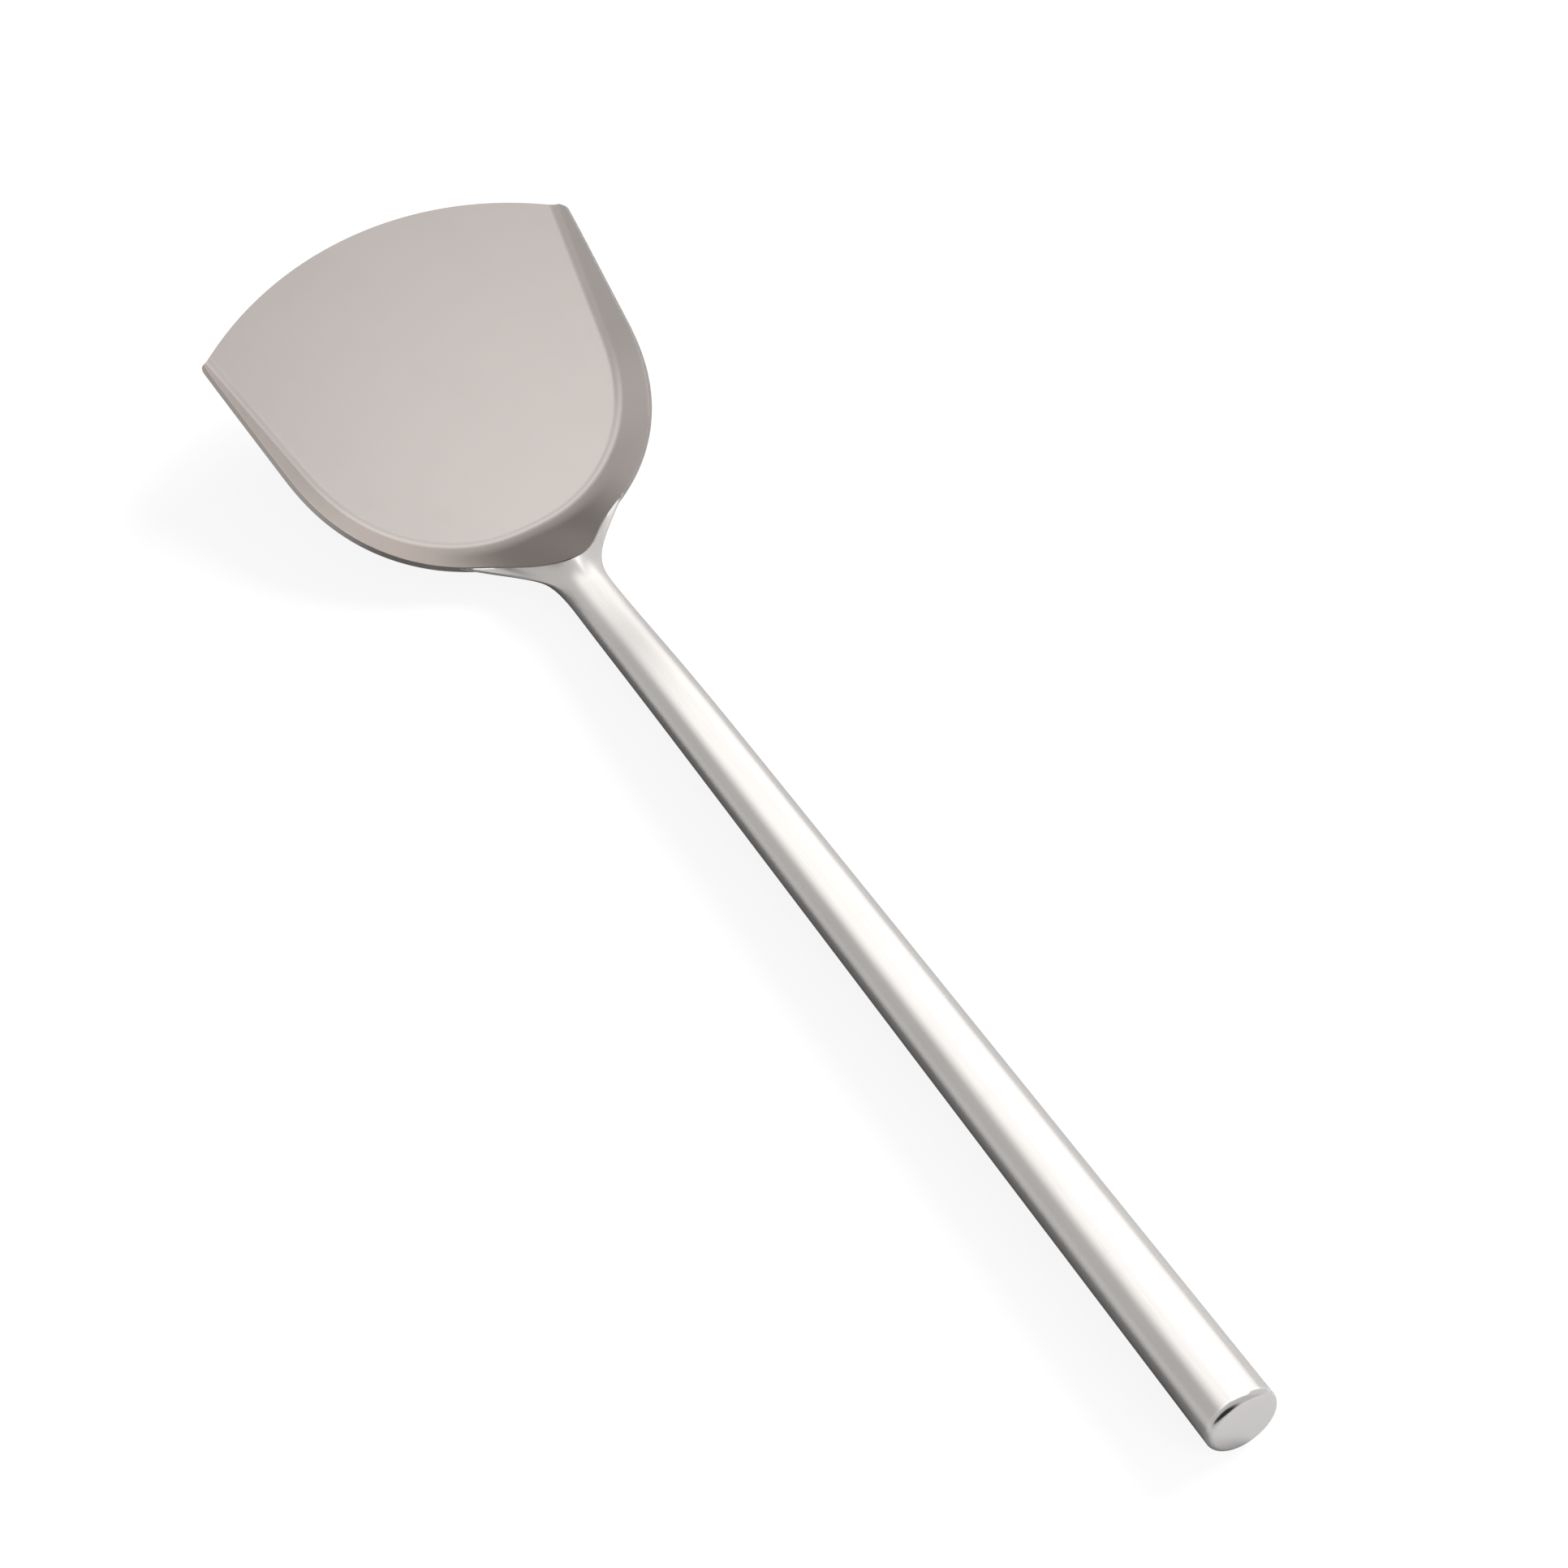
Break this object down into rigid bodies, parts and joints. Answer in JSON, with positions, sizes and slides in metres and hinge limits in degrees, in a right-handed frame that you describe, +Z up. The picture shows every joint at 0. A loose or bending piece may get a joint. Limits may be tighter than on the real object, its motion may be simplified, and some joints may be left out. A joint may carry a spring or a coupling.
{
  "type": "wok spatula",
  "caption": "Stainless wok spatula: a shallow pan blade with raised sides, welded to a long hollow round handle with a closed butt.",
  "frame": {"origin": "on the table, below the middle of the bounding box, with the spatula lying as it comes to rest on the heel of its blade and the butt of its handle", "axes": "+Y from the butt of the handle to the blade's front edge, +Z up from the table, +X to the user's right with the pan side up"},
  "size_m": [0.0998, 0.3902, 0.0292],
  "materials": {
    "blade_steel": "satin stainless steel, brushed from side to side",
    "handle_steel": "polished stainless steel with a fine lengthwise grain",
    "weld_steel": "ground and buffed stainless weld"
  },
  "bodies": {
    "root": {"blade": "blade_steel", "handle_tube": "handle_steel", "end_cap": "handle_steel", "neck_weld": "weld_steel", "cap_weld": "weld_steel"}
  },
  "joints": []
}
